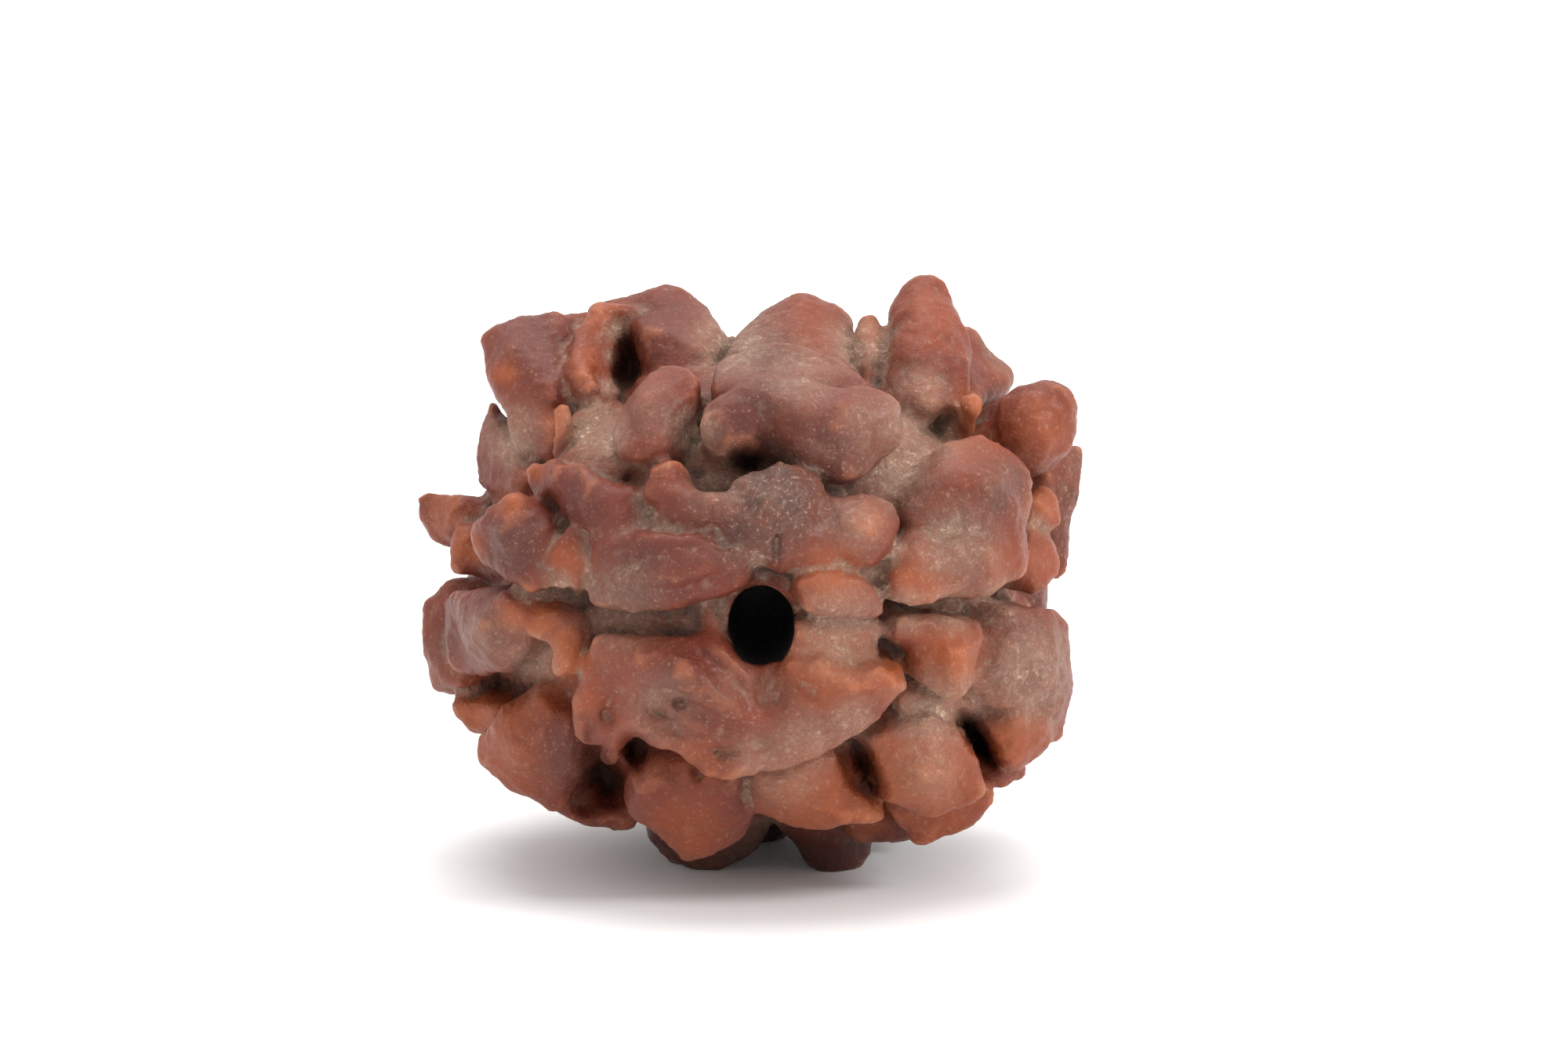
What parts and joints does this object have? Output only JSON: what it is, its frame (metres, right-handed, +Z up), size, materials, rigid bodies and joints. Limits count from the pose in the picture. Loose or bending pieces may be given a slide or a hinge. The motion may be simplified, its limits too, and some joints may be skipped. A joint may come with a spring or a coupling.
{
  "type": "rudraksha bead",
  "caption": "Two-faced rudraksha bead: a knobbly brown fruit stone with lobes, spikes and a level groove round it, drilled through for a cord and resting on its side.",
  "frame": {"origin": "middle of the bead's bounding box in plan, on the surface it rests on", "axes": "+X along the groove between the two faces, +Y along the threading bore away from the mouth seen in the picture, +Z up"},
  "size_m": [0.0202, 0.0196, 0.0181],
  "materials": {
    "bead_shell": "satin"
  },
  "bodies": {
    "root": {"bead": "bead_shell"}
  },
  "joints": []
}
